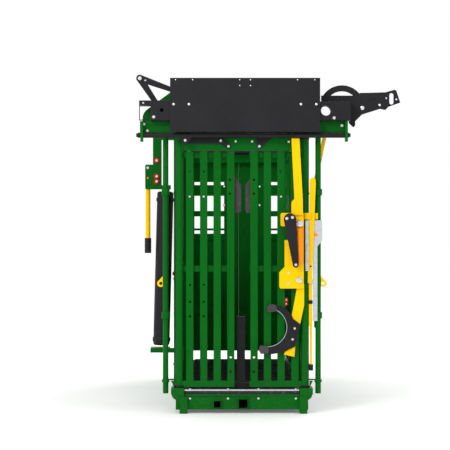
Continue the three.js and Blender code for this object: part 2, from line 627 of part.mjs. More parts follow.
// ---- Squeeze walls, side panels, neck gates -----------------------------------------------
function addSides() {
  for (const [name, side] of Object.entries(SIDES)) {
    const x = outward(side, WALL_INNER, WALL_OUTER);
    const barX = outward(side, WALL_INNER + 8, WALL_OUTER - 8);
    const length = [WALL_FRONT, WALL_REAR];
    const pieces = [
      block(x, length, [WALL_BOTTOM, 215]),
      block(x, length, [985, 1035]),
      block(x, length, [WALL_TOP - 50, WALL_TOP]),
      block(x, [WALL_FRONT, -790], [WALL_BOTTOM, 1000]),
    ];
    for (const y of [WALL_FRONT, 215, WALL_REAR - 40]) {
      pieces.push(block(x, [y, y + 40], [WALL_BOTTOM, WALL_TOP]));
    }
    for (let y = -775; y < WALL_REAR - 100; y += 155) {
      if (Math.abs(y - 235) > 60) pieces.push(block(barX, [y, y + 26], [1000, WALL_TOP - 10]));
    }
    for (const y of Object.values(GUIDE_YS)) {
      pieces.push(block(x, around(y, 30), [WALL_TOP - 10, 1912]));
    }
    const bores = Object.values(GUIDE_YS).map((y) =>
      rod("x", GUIDE_RADIUS + 1.2, [-450, 450], [y, GUIDE_Z], 16),
    );
    addNode(chute, "squeeze_wall_" + name, cut(join(...pieces), ...bores), "greenPaint");

    const panel = groupAt(chute, side * 440, 0, PANEL_BOTTOM);
    const height = PANEL_TOP - PANEL_BOTTOM;
    const along = [PANEL_FRONT, PANEL_REAR];
    const frameX = outward(side, -16, 0);
    const skin = block(outward(side, -19.5, -14), along, [12, height]);
    const ribs = [
      block(frameX, along, [0, 30]),
      block(frameX, along, [height - 30, height]),
      ...[PANEL_FRONT, 198, PANEL_REAR - 30].map((y) => block(frameX, [y, y + 30], [0, height])),
    ];
    addNode(panel, "side_panel_" + name, join(skin, ...ribs), "greenPaint");

    const gate = groupAt(chute, side * SIDE_TUBE_X, SIDE_TUBE_Y, 0);
    const gateX = [-8, 12].map((v) => v * side).sort((a, b) => a - b);
    const reach = [62, 384];
    const stiles = [62, 211, 360].map((y) => block(gateX, [y, y + 24], [560, 1560]));
    const rails = [560, 1046, 1532].map((z) => block(gateX, reach, [z, z + 28]));
    const hinges = [640, 1480].flatMap((z) => [
      rod("z", SIDE_TUBE_RADIUS + 9, [z, z + 44], [0, 0], 18),
      block(gateX, [15, 70], [z, z + 44]),
    ]);
    const bore = rod("z", SIDE_TUBE_RADIUS + 1, [500, 1700], [0, 0], 18);
    addNode(gate, "neck_gate_" + name, cut(join(...stiles, ...rails, ...hinges), bore), "greenPaint");
  }
}

// ---- Tail gate ----------------------------------------------------------------------------
const TAIL_RAILS = [[222, 262], [530, 580], [1153, 1205], [1232, 1250], [1350, 1396], [1523, 1614],
  [1639, 1806]];

function addTailGate() {
  for (const [name, side] of Object.entries(SIDES)) {
    // Local x runs from the hinge axis; the middle of the gate is at -side * TAIL_HINGE.x.
    const leaf = groupAt(chute, side * TAIL_HINGE.x, TAIL_HINGE.y, 0);
    const span = (inner, outer) => outward(side, inner - TAIL_HINGE.x, outer - TAIL_HINGE.x);
    const y = [-14, 14];
    const sheet = block(span(TAIL_MEET, 400), [-3, 2], [222, 1170]);
    const rails = TAIL_RAILS.map((z) => block(span(TAIL_MEET, 400), y, z));
    const stileSpans = [[TAIL_MEET, TAIL_STILE[name]], [188, 212], [372, 400]];
    const stiles = stileSpans.map((x) => block(span(...x), y, [222, 1782]));
    const knuckles = TAIL_HINGE_ZS.flatMap((z) => [
      block(span(395, TAIL_HINGE.x - 4), [-7, 7], [z, z + 44]),
      rod("z", TAIL_HINGE.pin + 6, [z, z + 44], [0, 0], 18),
    ]);
    const bore = rod("z", TAIL_HINGE.pin + PIN_PLAY, [200, 1800], [0, 0], 18);
    const gate = cut(join(sheet, ...rails, ...stiles, ...knuckles), bore);
    addNode(leaf, "tail_gate_" + name, gate, "greenPaint");
  }
}

addBase();
addPosts();
addHeader();
addTopLever();
addTopCrank();
addDoors();
addLinkage();
addHolder();
addLevers();
addSides();
addTailGate();

export default chute;
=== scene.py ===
import json
import math

import bmesh
import bpy
from mathutils import Matrix, Vector


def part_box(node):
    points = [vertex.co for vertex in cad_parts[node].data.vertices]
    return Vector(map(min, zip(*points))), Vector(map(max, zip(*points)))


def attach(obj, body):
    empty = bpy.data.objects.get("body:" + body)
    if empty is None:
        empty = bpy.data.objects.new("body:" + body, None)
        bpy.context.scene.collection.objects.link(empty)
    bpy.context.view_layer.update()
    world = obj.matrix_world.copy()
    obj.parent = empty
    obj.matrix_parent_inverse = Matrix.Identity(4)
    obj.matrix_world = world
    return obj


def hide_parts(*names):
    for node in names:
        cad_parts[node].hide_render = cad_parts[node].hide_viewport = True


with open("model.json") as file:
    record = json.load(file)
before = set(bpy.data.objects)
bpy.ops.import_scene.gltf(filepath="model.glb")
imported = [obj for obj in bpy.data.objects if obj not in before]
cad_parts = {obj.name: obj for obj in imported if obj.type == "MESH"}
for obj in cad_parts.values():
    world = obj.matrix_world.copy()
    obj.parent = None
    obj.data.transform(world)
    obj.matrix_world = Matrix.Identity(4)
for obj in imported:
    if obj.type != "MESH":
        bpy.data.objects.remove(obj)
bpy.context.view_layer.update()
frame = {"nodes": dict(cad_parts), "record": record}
NODES = frame["nodes"]
SLOT_OF = {s["node"]: s["material_slot"] for s in frame["record"]["subparts"]}

FRONT = -1.400  # the front faces of the head gate's slats
MM = 0.001
SIDES = (("left", -1), ("right", 1))


# ---- Materials -----------------------------------------------------------------------------
def linear(r, g, b):
    """An 8-bit display colour as the linear colour that a shader takes."""
    def one(v):
        v /= 255
        return v / 12.92 if v <= 0.04045 else ((v + 0.055) / 1.055) ** 2.4
    return (one(r), one(g), one(b), 1.0)


class Graph:
    """A material's node tree, with short calls for the nodes that are used here."""

    def __init__(self, name):
        self.material = bpy.data.materials.new(name)
        self.material.use_nodes = True
        self.tree = self.material.node_tree
        self.tree.nodes.clear()
        self.shader = self.add("ShaderNodeBsdfPrincipled")
        output = self.add("ShaderNodeOutputMaterial")
        self.link(self.shader.outputs["BSDF"], output.inputs["Surface"])
        self.place = self.add("ShaderNodeTexCoord").outputs["Object"]

    def add(self, kind, **settings):
        node = self.tree.nodes.new(kind)
        for key, value in settings.items():
            setattr(node, key, value)
        return node

    def link(self, a, b):
        self.tree.links.new(a, b)

    def put(self, socket, value):
        if isinstance(value, bpy.types.NodeSocket):
            self.link(value, socket)
        else:
            socket.default_value = value

    def noise(self, scale, detail=4.0, rough=0.55, stretch=None, distort=0.0):
        node = self.add("ShaderNodeTexNoise")
        place = self.place
        if stretch:
            mapping = self.add("ShaderNodeMapping")
            mapping.inputs["Scale"].default_value = stretch
            self.link(place, mapping.inputs["Vector"])
            place = mapping.outputs["Vector"]
        self.link(place, node.inputs["Vector"])
        node.inputs["Scale"].default_value = scale
        node.inputs["Detail"].default_value = detail
        node.inputs["Roughness"].default_value = rough
        node.inputs["Distortion"].default_value = distort
        return node.outputs["Fac"]

    def cells(self, scale, feature="F1"):
        node = self.add("ShaderNodeTexVoronoi", feature=feature)
        self.link(self.place, node.inputs["Vector"])
        node.inputs["Scale"].default_value = scale
        return node.outputs["Color" if feature == "F1" else "Distance"]

    def span(self, value, low, high, to_low=0.0, to_high=1.0):
        node = self.add("ShaderNodeMapRange", clamp=True)
        self.put(node.inputs["Value"], value)
        for key, number in zip(("From Min", "From Max", "To Min", "To Max"), (low, high, to_low, to_high)):
            node.inputs[key].default_value = number
        return node.outputs["Result"]

    def math(self, operation, a, b=0.0):
        node = self.add("ShaderNodeMath", operation=operation)
        self.put(node.inputs[0], a)
        self.put(node.inputs[1], b)
        return node.outputs["Value"]

    def mix(self, share, a, b):
        node = self.add("ShaderNodeMix", data_type="RGBA")
        self.put(node.inputs[0], share)
        self.put(node.inputs[6], a)
        self.put(node.inputs[7], b)
        return node.outputs[2]

    def edges(self, radius):
        """0 on flat faces, towards 1 where the surface turns sharply within radius."""
        round_normal = self.add("ShaderNodeBevel", samples=4)
        round_normal.inputs["Radius"].default_value = radius
        flat_normal = self.add("ShaderNodeNewGeometry")
        dot = self.add("ShaderNodeVectorMath", operation="DOT_PRODUCT")
        self.link(round_normal.outputs["Normal"], dot.inputs[0])
        self.link(flat_normal.outputs["Normal"], dot.inputs[1])
        return self.span(dot.outputs["Value"], 0.985, 0.80)

    def upward(self):
        geometry = self.add("ShaderNodeNewGeometry")
        parts = self.add("ShaderNodeSeparateXYZ")
        self.link(geometry.outputs["Normal"], parts.inputs[0])
        return self.span(parts.outputs["Z"], 0.35, 0.95)

    def height(self):
        parts = self.add("ShaderNodeSeparateXYZ")
        self.link(self.place, parts.inputs[0])
        return parts.outputs["Z"]

    def bump(self, *layers):
        normal = None
        for value, strength, distance in layers:
            node = self.add("ShaderNodeBump")
            node.inputs["Strength"].default_value = strength
            node.inputs["Distance"].default_value = distance
            self.link(value, node.inputs["Height"])
            if normal is not None:
                self.link(normal, node.inputs["Normal"])
            normal = node.outputs["Normal"]
        self.link(normal, self.shader.inputs["Normal"])


def paint(name, colour, shade, chip, rough, coat, peel):
    """Brushed or sprayed enamel over steel: uneven tone, orange peel, chipped edges, dust and splash."""
    g = Graph(name)
    broad = g.span(g.noise(2.3, 3), 0.3, 0.7)
    mottled = g.span(g.noise(23, 5, 0.6), 0.3, 0.72)
    body = g.mix(g.math("MULTIPLY", broad, 0.45), colour, shade)
    body = g.mix(g.math("MULTIPLY", mottled, 0.22), body, shade)
    dust = g.math("MULTIPLY", g.upward(), g.span(g.noise(34, 6, 0.65), 0.42, 0.75, 0.0, 0.22))
    body = g.mix(dust, body, linear(150, 148, 132))
    spots = g.span(g.noise(60, 6, 0.7), 0.52, 0.72, 0, 0.35)
    splash = g.math("MULTIPLY", g.span(g.height(), 0.42, 0.02), spots)
    body = g.mix(splash, body, linear(92, 84, 66))
    speck = g.span(g.noise(95, 7, 0.72), 0.50, 0.60)
    worn = g.math("MULTIPLY", g.edges(0.0030), speck)
    scratch = g.span(g.noise(38, 5, 0.7, (1, 1, 0.06)), 0.71, 0.75, 0.0, 0.5)
    worn = g.math("MAXIMUM", worn, g.math("MULTIPLY", scratch, g.span(g.noise(5, 2), 0.5, 0.66)))
    body = g.mix(worn, body, chip)
    g.link(body, g.shader.inputs["Base Color"])
    uneven = g.span(g.noise(17, 5), 0.3, 0.7, rough - 0.06, rough + 0.12)
    g.link(g.math("ADD", uneven, g.math("MULTIPLY", worn, 0.22)), g.shader.inputs["Roughness"])
    g.shader.inputs["Coat Weight"].default_value = coat
    g.shader.inputs["Coat Roughness"].default_value = 0.12
    g.shader.inputs["Specular IOR Level"].default_value = 0.06
    sunk = g.math("SUBTRACT", 1.0, worn)
    g.bump((g.noise(420, 2), peel, 0.0006), (sunk, 0.35, 0.0004))
    return g.material


def powder_coat(name, colour, shade, rough):
    """Fine-textured powder coat with rubbed edges and a film of dust."""
    g = Graph(name)
    body = g.mix(g.span(g.noise(4.5, 4), 0.32, 0.7), colour, shade)
    body = g.mix(g.span(g.noise(700, 2), 0.56, 0.70, 0.0, 0.16), body, linear(88, 87, 94))
    dust = g.math("MULTIPLY", g.upward(), g.span(g.noise(26, 6, 0.65), 0.38, 0.75, 0.0, 0.30))
    body = g.mix(dust, body, linear(140, 136, 126))
    worn = g.math("MULTIPLY", g.edges(0.0025), g.span(g.noise(120, 6, 0.7), 0.50, 0.61))
    body = g.mix(worn, body, linear(128, 128, 134))
    g.link(body, g.shader.inputs["Base Color"])
    g.link(g.span(g.noise(30, 4), 0.3, 0.7, rough - 0.07, rough + 0.1), g.shader.inputs["Roughness"])
    g.link(g.math("MULTIPLY", worn, 0.7), g.shader.inputs["Metallic"])
    g.shader.inputs["Specular IOR Level"].default_value = 0.2
    g.bump((g.noise(900, 3), 0.22, 0.0005), (g.noise(160, 3), 0.10, 0.0006))
    return g.material


def zinc(name, colour, shade, rough):
    """Zinc-plated steel: spangle, fine drawn lines and dull patches."""
    g = Graph(name)
    grains = g.add("ShaderNodeSeparateColor")
    g.link(g.cells(190), grains.inputs[0])
    body = g.mix(g.math("MULTIPLY", grains.outputs[0], 0.55), colour, shade)
    dull = g.span(g.noise(28, 6, 0.65), 0.50, 0.70)
    body = g.mix(g.math("MULTIPLY", dull, 0.5), body, linear(150, 148, 142))
    g.link(body, g.shader.inputs["Base Color"])
    g.shader.inputs["Metallic"].default_value = 0.9
    lines = g.noise(60, 3, 0.6, (1, 1, 22))
    uneven = g.span(lines, 0.3, 0.7, rough - 0.06, rough + 0.1)
    g.link(g.math("ADD", uneven, g.math("MULTIPLY", dull, 0.16)), g.shader.inputs["Roughness"])
    g.bump((lines, 0.10, 0.0004), (g.noise(300, 3), 0.06, 0.0004))
    return g.material


def rubber(name, colour, shade, rough, grain, scuff):
    """Moulded rubber: fine grain, grey scuffs and bloom on the edges."""
    g = Graph(name)
    body = g.mix(g.span(g.noise(7, 5, 0.6), 0.3, 0.72), colour, shade)
    bloom = g.math("MULTIPLY", g.edges(0.004), g.span(g.noise(45, 6, 0.7), 0.42, 0.66, 0.0, 0.6))
    scuffs = g.math("MULTIPLY", g.span(g.noise(30, 6, 0.7, (1, 0.25, 1)), 0.55, 0.72), scuff)
    body = g.mix(g.math("MAXIMUM", bloom, scuffs), body, linear(118, 112, 108))
    g.link(body, g.shader.inputs["Base Color"])
    g.link(g.span(g.noise(22, 5), 0.3, 0.7, rough - 0.08, rough + 0.12), g.shader.inputs["Roughness"])
    g.shader.inputs["Specular IOR Level"].default_value = 0.2
    g.bump((g.noise(grain, 4, 0.6), 0.30, 0.0007), (g.noise(48, 3), 0.12, 0.0010))
    return g.material


MATERIALS = {
    "green_paint": paint(
        "green_enamel", linear(1, 98, 20), linear(0, 76, 14), linear(16, 80, 30), 0.36, 0.02, 0.04
    ),
    "yellow_paint": paint(
        "yellow_enamel", linear(252, 202, 0), linear(240, 178, 0), linear(176, 146, 78), 0.38, 0.02, 0.05
    ),
    "orange_paint": paint(
        "orange_enamel", linear(255, 150, 14), linear(236, 118, 6), linear(150, 116, 88), 0.34, 0.03, 0.05
    ),
    "red_paint": paint(
        "red_enamel", linear(196, 22, 20), linear(150, 12, 14), linear(120, 74, 70), 0.34, 0.03, 0.05
    ),
    "black_coat": powder_coat("black_powder_coat", linear(24, 23, 28), linear(16, 15, 19), 0.5),
    "dull_zinc": zinc("dull_zinc", linear(198, 204, 206), linear(170, 176, 180), 0.45),
    # A copy of the black powder coat, darker than it: painted shade, used on the guide tubes and chin post.
    "painted_shade_coat": powder_coat("painted_shade_coat", linear(14, 14, 17), linear(9, 9, 11), 0.5),
    "zinc_steel": zinc("zinc_plate", linear(205, 210, 214), linear(168, 174, 180), 0.33),
    "bolt_zinc": zinc("bolt_plate", linear(226, 228, 230), linear(190, 192, 194), 0.3),
    "chrome": zinc("polished_steel", linear(222, 222, 224), linear(196, 196, 200), 0.16),
    "black_rubber": rubber("floor_rubber", linear(44, 44, 45), linear(30, 30, 31), 0.66, 260, 0.55),
    "pad_rubber": rubber("pad_rubber", linear(72, 64, 68), linear(56, 50, 54), 0.62, 320, 0.35),
    "grip_rubber": rubber("grip_rubber", linear(30, 30, 32), linear(20, 20, 22), 0.6, 420, 0.2),
}


# ---- CAD nodes: finish, painted shade and softened edges ------------------------------------
# The guide tubes and the chin post take the darker copy of the black powder coat in place of their slot's
# finish, as painted shade. The ratchet plate takes a duller zinc.
FINISH_AND_PAINTED_SHADE_OF_NODE = {
    "ratchet_plate": "dull_zinc", "chin_post": "painted_shade_coat",
    "guide_tube_front": "painted_shade_coat", "guide_tube_rear": "painted_shade_coat",
}
THIN_NODES = {"lever_bracket", "ratchet_plate", "latch_strap", "side_panel_left", "side_panel_right"}


def soften(obj, width, segments=2):
    """Rounds an object's sharp edges and evens its shading."""
    weld = obj.modifiers.new("weld", "WELD")
    weld.merge_threshold = 0.00002
    bevel = obj.modifiers.new("edges", "BEVEL")
    bevel.width = width
    bevel.segments = segments
    bevel.limit_method = "ANGLE"
    bevel.angle_limit = math.radians(38)
    bevel.use_clamp_overlap = False
    bevel.miter_outer = "MITER_ARC"
    even = obj.modifiers.new("shading", "WEIGHTED_NORMAL")
    even.keep_sharp = False
    even.weight = 80
    for face in obj.data.polygons:
        face.use_smooth = True


for node_name, node in NODES.items():
    node.data.materials.clear()
    node.data.materials.append(MATERIALS[FINISH_AND_PAINTED_SHADE_OF_NODE.get(node_name, SLOT_OF[node_name])])
    soften(node, 0.0006 if node_name in THIN_NODES else 0.0014)


# ---- Mesh helpers (millimetres in, metres out) -----------------------------------------------
def finish_piece(name, bm, finish, body, bevel=0.0):
    bmesh.ops.recalc_face_normals(bm, faces=bm.faces)
    mesh = bpy.data.meshes.new(name)
    bm.to_mesh(mesh)
    bm.free()
    obj = bpy.data.objects.new(name, mesh)
    bpy.context.scene.collection.objects.link(obj)
    mesh.materials.append(MATERIALS[finish])
    if bevel:
        soften(obj, bevel * MM)
    else:
        for face in mesh.polygons:
            face.use_smooth = True
        mesh.set_sharp_from_angle(angle=math.radians(34))
    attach(obj, body)
    return obj


def turned(axis):
    """The rotation that takes +Z to axis."""
    return Vector((0, 0, 1)).rotation_difference(Vector(axis)).to_matrix().to_4x4()


def add_lathe(bm, profile, at, axis=(0, 0, 1), segments=28, tilt=None):
    """Revolves (radius, height) points about axis through at; the profile is closed on itself."""
    place = Matrix.Translation(Vector(at) * MM) @ (tilt or turned(axis))
    rings = []
    for radius, height in profile:
        if radius == 0:
            rings.append([bm.verts.new(place @ Vector((0, 0, height * MM)))] * segments)
            continue
        ring = []
        for i in range(segments):
            a = 2 * math.pi * i / segments
            point = Vector((radius * math.cos(a), radius * math.sin(a), height)) * MM
            ring.append(bm.verts.new(place @ point))
        rings.append(ring)
    for lower, upper in zip(rings, rings[1:] + rings[:1]):
        for i in range(segments):
            j = (i + 1) % segments
            corners = []
            for v in (lower[i], lower[j], upper[j], upper[i]):
                if v not in corners:
                    corners.append(v)
            if len(corners) > 2:
                bm.faces.new(corners)


def add_plate(bm, outline, y0, y1):
    """An XZ outline extruded from y0 to y1."""
    front = [bm.verts.new(Vector((x, y0, z)) * MM) for x, z in outline]
    back = [bm.verts.new(Vector((x, y1, z)) * MM) for x, z in outline]
    bm.faces.new(front)
    bm.faces.new(back)
    for i in range(len(outline)):
        j = (i + 1) % len(outline)
        bm.faces.new((front[i], front[j], back[j], back[i]))


def add_block(bm, x, y, z):
    add_plate(bm, [(x[0], z[0]), (x[1], z[0]), (x[1], z[1]), (x[0], z[1])], *y)


def add_hex(bm, at, axis, across, height, base=0.0):
    """A hexagon head with a chamfered crown."""
    place = Matrix.Translation(Vector(at) * MM) @ turned(axis)
    radius = across / math.sqrt(3)
    rings = []
    for r, h in ((radius, base), (radius, base + height * 0.8), (radius * 0.86, base + height)):
        angles = [k * math.pi / 3 for k in range(6)]
        points = [Vector((r * math.cos(a), r * math.sin(a), h)) for a in angles]
        rings.append([bm.verts.new(place @ (point * MM)) for point in points])
    for lower, upper in zip(rings, rings[1:]):
        for i in range(6):
            j = (i + 1) % 6
            bm.faces.new((lower[i], lower[j], upper[j], upper[i]))
    bm.faces.new(rings[0])
    bm.faces.new(rings[-1])


def add_bolt(bm, at, axis, size):
    """A washer, a hexagon head of that size across its flats, and its rounded crown."""
    washer = [(0, 0.05), (size * 0.95, 0.05), (size * 1.02, 0.5)]
    washer += [(size * 1.02, 1.6), (size * 0.96, 2.0), (0, 2.0)]
    add_lathe(bm, washer, at, axis, 20)
    add_hex(bm, at, axis, size * 1.35, size * 0.62, 1.9)


def add_dome(bm, at, axis, radius):
    """A round-headed bolt."""
    profile = [(0, 0.05), (radius, 0.05), (radius, 1.4)]
    profile += [(radius * math.cos(t), 1.4 + radius * 0.42 * math.sin(t)) for t in (0.35, 0.7, 1.05, 1.35)]
    add_lathe(bm, profile + [(0, 1.4 + radius * 0.42)], at, axis, 20)


def face_y(node):
    """The y of a node's front face, in millimetres."""
    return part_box(node)[0].y / MM


TOWARDS_FRONT = (0, -1, 0)


def bolts(name, body, points, finish="bolt_zinc", style=add_bolt, axis=TOWARDS_FRONT):
    """One object of separate bolts; points are (x, y, z, size)."""
    bm = bmesh.new()
    for x, y, z, size in points:
        style(bm, (x, y, z), axis, size)
    return finish_piece(name, bm, finish, body)


# ---- Base, sill and front ---------------------------------------------------------------------
SILL_XS = (-353, -95, 112, 366)
sill_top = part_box("sill_strip")[1].z / MM
bolts("sill_bolts", "frame", [(x, -1401, sill_top, 8.5) for x in SILL_XS], axis=(0, 0, 1))
bolts("beam_bolts", "frame", [(x, FRONT / MM - 20, 100, 7.5) for x in SILL_XS])

rim = bmesh.new()
for x, z, half in ((-168, 62, 27), (8, 66, 34)):
    for a, b, c, d in ((-half, half, half - 4, half), (-half, half, -half, -half + 4),
                       (-half, -half + 4, -half, half), (half - 4, half, -half, half)):
        add_block(rim, (x + a, x + b), (-1441, -1437.5), (z + c, z + d))
finish_piece("receiver_rims", rim, "green_paint", "frame", 0.8)
tubes = bmesh.new()
for x, z, half, bore in ((-168, 62, 33, 25), (8, 66, 40, 32)):
    for a, b, c, d in ((-half, half, bore, half), (-half, half, -half, -bore),
                       (-half, -bore, -bore, bore), (bore, half, -bore, bore)):
        add_block(tubes, (x + a, x + b), (-1339.5, -660), (z + c, z + d))
finish_piece("receiver_tubes", tubes, "green_paint", "frame")

# ---- Head gate doors --------------------------------------------------------------------------
SLAT_XS = {"left": (260, 355), "right": (266, 361)}
DOOR_PIVOT_X, DOOR_PIVOT_Y = 426, -1385
PAD_BOLT_ZS = (1540, 1413)
# The left gate link slides past the top of its pivot tube, so only the right one has an upper bush.
BUSH_SPANS = {"left": [(171.4, 189)], "right": [(171.4, 189), (1860, 1875)]}
for side, sign in SIDES:
    body = f"door_{side}_body"
    ring = bmesh.new()
    for low, high in BUSH_SPANS[side]:
        add_lathe(ring, [(25.4, low), (32, low), (33, low + 2), (33, high - 3), (30, high), (25.4, high)],
                  (sign * DOOR_PIVOT_X, DOOR_PIVOT_Y, 0), segments=36)
    finish_piece(f"pivot_bush_{side}", ring, "grip_rubber", body)
    bolts(f"door_bolts_{side}", body, [(sign * x, FRONT / MM, 1471, 7) for x in SLAT_XS[side]])
    bracket = bmesh.new()
    for z in PAD_BOLT_ZS:
        add_block(bracket, sorted((sign * 84, sign * 128)), (-1379, -1372.2), (z - 8, z + 8))
    finish_piece(f"pad_bracket_{side}", bracket, "black_coat", body, 1.2)
    bolts(f"pad_bolts_{side}", body, [(sign * 121, -1379, z, 6.5) for z in PAD_BOLT_ZS])

# ---- Neck pads --------------------------------------------------------------------------------
PAD_INNER = {"left": 4, "right": 24}
PAD_OUTER = 102
PAD_FRONT, PAD_BACK = -1369.5, -1320
PAD_BOTTOM, PAD_TOP = 1359, 1610


def apply_modifiers(obj):
    """Makes an object's modifiers part of its mesh."""
    depsgraph = bpy.context.evaluated_depsgraph_get()
    mesh = bpy.data.meshes.new_from_object(obj.evaluated_get(depsgraph))
    obj.modifiers.clear()
    obj.data = mesh


def soft_block(name, bm, finish, body, voxel, smoothing, crown=0.0, crown_box=None):
    """A solid with rounded, slightly swollen faces, like a moulded rubber block."""
    obj = finish_piece(name, bm, finish, body)
    remesh = obj.modifiers.new("remesh", "REMESH")
    remesh.mode = "VOXEL"
    remesh.voxel_size = voxel * MM
    smooth = obj.modifiers.new("smooth", "SMOOTH")
    smooth.factor = 0.5
    smooth.iterations = smoothing
    bpy.context.view_layer.update()
    apply_modifiers(obj)
    if crown:
        (x0, x1), (y0, y1), (z0, z1) = crown_box
        for v in obj.data.vertices:
            u = (v.co.x / MM - (x0 + x1) / 2) / ((x1 - x0) / 2)
            w = (v.co.z / MM - (z0 + z1) / 2) / ((z1 - z0) / 2)
            rise = max(0.0, 1 - u * u) * max(0.0, 1 - w * w)
            out = 1 if v.co.y / MM > (y0 + y1) / 2 else 0
            v.co.y += out * crown * rise * MM
    for face in obj.data.polygons:
        face.use_smooth = True
    return obj


for side, sign in SIDES:
    bm = bmesh.new()
    inner = PAD_INNER[side]
    outline = [(inner, PAD_BOTTOM + 14), (inner + 14, PAD_BOTTOM), (PAD_OUTER, PAD_BOTTOM)]
    outline += [(PAD_OUTER, PAD_TOP), (inner + 45, PAD_TOP), (inner, PAD_TOP - 61)]
    add_plate(bm, [(sign * x, z) for x, z in outline], PAD_FRONT, PAD_BACK)
    xs = sorted((sign * inner, sign * PAD_OUTER))
    pad = soft_block(f"neck_pad_rubber_{side}", bm, "pad_rubber", f"door_{side}_body",
                     3.0, 7, 3.0, (xs, (PAD_FRONT, PAD_BACK), (PAD_BOTTOM, PAD_TOP)))
    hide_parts(f"neck_pad_{side}")

# ---- Header, sign and boxes --------------------------------------------------------------------
sign_y = face_y("sign_panel")
header_y = face_y("header_beam") + 50
box_y = face_y("header_box_left")
link_y = face_y("gate_link_left")
bolts("sign_bolts_small", "frame",
      [(x, sign_y, 2253, 4.5) for x in (-447, -332, -16, 57, 372, 488)]
      + [(x, sign_y, 2214, 4.5) for x in (-16, 57)], style=add_dome)
bolts("sign_bolts_large", "frame", [(x, sign_y, 2089, 9) for x in (-460, -357, 395, 498)], style=add_dome)
bolts("box_bolts", "frame", [(-594, box_y, 2004, 10), (618, box_y, 1998, 10), (-664, box_y + 0.1, 2098, 6)])
bolts("header_bolts", "frame",
      [(-664, header_y, 1960, 10), (-639, header_y, 1915, 9), (676, header_y, 1950, 10)])
bolts("link_bolts_left", "link_left_body", [(x, link_y, z, 9) for x, z in ((-144, 1850), (-91, 1812))])
bolts("throw_bolt", "shaft_body", [(-384, -1505, 1849, 9)])
bolts("link_bolts_right", "link_right_body", [(118, link_y, 1812, 9)])
CROSS_Y = -1412
bolts("cross_bolts", "frame", [(x, CROSS_Y, z, 8) for x, z in ((-43, 1847), (69, 1846), (318, 1844))])

lever_y = face_y("top_lever") + 7.3
bolts("top_lever_bolts", "top_lever_body",
      [(816, lever_y, 2072, 15), (934, lever_y, 2092, 9), (979, lever_y, 2138, 6), (1047, lever_y, 2130, 7)],
      style=add_dome)
crank_y = face_y("top_crank")
bolts("top_crank_bolts", "top_crank_body", [(-693, crank_y, 2273, 10), (-655, crank_y, 2258, 6)])

# ---- Head holder -------------------------------------------------------------------------------
PX, PZ = 386, 906  # the yoke arm's pivot on the holder
plate_y = face_y("holder_plate")
link_face = face_y("holder_link")
bolts("holder_link_bolts", "door_right_body",
      [(PX + x, link_face, PZ + z, size) for x, z, size in ((-85, 416, 10), (-47, 423, 10), (-24, 104, 9))])
bolts("holder_plate_bolts", "door_right_body",
      [(PX - 71, plate_y, PZ + 48, 8), (PX - 72, plate_y, PZ - 24, 8)])
ROLLER = [(0, 0.1), (24, 0.1), (24, 3), (22, 5), (22, 18), (20, 21), (12, 22), (11, 27), (0, 27)]
roller = bmesh.new()
add_lathe(roller, ROLLER, (PX + 7, plate_y, PZ + 381), TOWARDS_FRONT, 36)
finish_piece("holder_roller", roller, "chrome", "door_right_body")
cap = bmesh.new()
add_lathe(cap, [(0, 0.1), (21, 0.1), (21, 4), (18, 7), (9, 8), (8, 11), (0, 11)],
          (PX, face_y("yoke_arm"), PZ), TOWARDS_FRONT, 36)
finish_piece("yoke_pivot_cap", cap, "chrome", "yoke_body")
yoke_y = face_y("head_yoke")
bolts("yoke_bolts", "yoke_body", [(357, yoke_y, 577, 8), (343, yoke_y, 503, 8)])

arc = bmesh.new()
YOKE_X, YOKE_Z = 172, 585  # the centre of the yoke's curve
LINER_OUTER, LINER_INNER = 133.6, 130.6
steps = [math.radians(a) for a in range(-92, 71, 6)]
outline = [(YOKE_X + LINER_OUTER * math.cos(a), YOKE_Z + LINER_OUTER * math.sin(a)) for a in steps]
outline += [
    (YOKE_X + LINER_INNER * math.cos(a), YOKE_Z + LINER_INNER * math.sin(a)) for a in reversed(steps)
]
add_plate(arc, outline, yoke_y - 4, yoke_y + 14)
finish_piece("yoke_liner", arc, "zinc_steel", "yoke_body", 0.5)
for name, outline in (
    ("yoke_tip_upper", [(172, 700), (183, 686), (236, 694), (238, 716), (226, 736), (188, 742), (172, 724)]),
    ("yoke_tip_lower", [(116, 428), (126, 405), (178, 408), (184, 432), (172, 456), (128, 462), (116, 450)]),
):
    bm = bmesh.new()
    add_plate(bm, outline, yoke_y - 9, yoke_y + 20)
    tip = soft_block(name, bm, "pad_rubber", "yoke_body", 2.0, 5)

# ---- Levers, ratchet and latches ----------------------------------------------------------------
bolts("lever_dark_bolt", "release_lever_body", [(467, face_y("release_lever"), 997, 6)], finish="black_coat")
ratchet_front = FRONT / MM - 20
teeth = bmesh.new()
TEETH_BOTTOM, TOOTH_PITCH, TOOTH_COUNT = 968, 15.5, 22
outline = [(447, TEETH_BOTTOM)]
for k in range(TOOTH_COUNT):
    z = TEETH_BOTTOM + k * TOOTH_PITCH
    outline += [(432, z + 1), (439, z + 14.5)]
outline += [(447, TEETH_BOTTOM + TOOTH_COUNT * TOOTH_PITCH)]
add_plate(teeth, outline[::-1], ratchet_front - 3.2, ratchet_front - 0.1)
finish_piece("ratchet_teeth", teeth, "zinc_steel", "frame", 0.4)
marks = bmesh.new()
add_plate(marks, [(490, 1201), (516, 1201), (516, 1220), (490, 1220)], -1399.4, -1398.1)
finish_piece("ratchet_marks", marks, "orange_paint", "frame", 0.3)
bolts("ratchet_bolts", "frame", [(500, -1398, z, 7) for z in (1290, 1160)])
clamp = bmesh.new()
add_block(clamp, (452.6, 481), (-1399.2, -1379), (742, 766))
finish_piece("rod_clamp", clamp, "black_coat", "release_rod_body", 2)
grip = bmesh.new()
profile = [(11.2, 288)]
for k in range(6):
    profile += [(14.6, 289 + k * 7), (15.6, 291.5 + k * 7), (14.6, 294 + k * 7)]
add_lathe(grip, profile + [(11.2, 331)], (470, -1389, 0), segments=28)
finish_piece("rod_grip", grip, "grip_rubber", "release_rod_body")

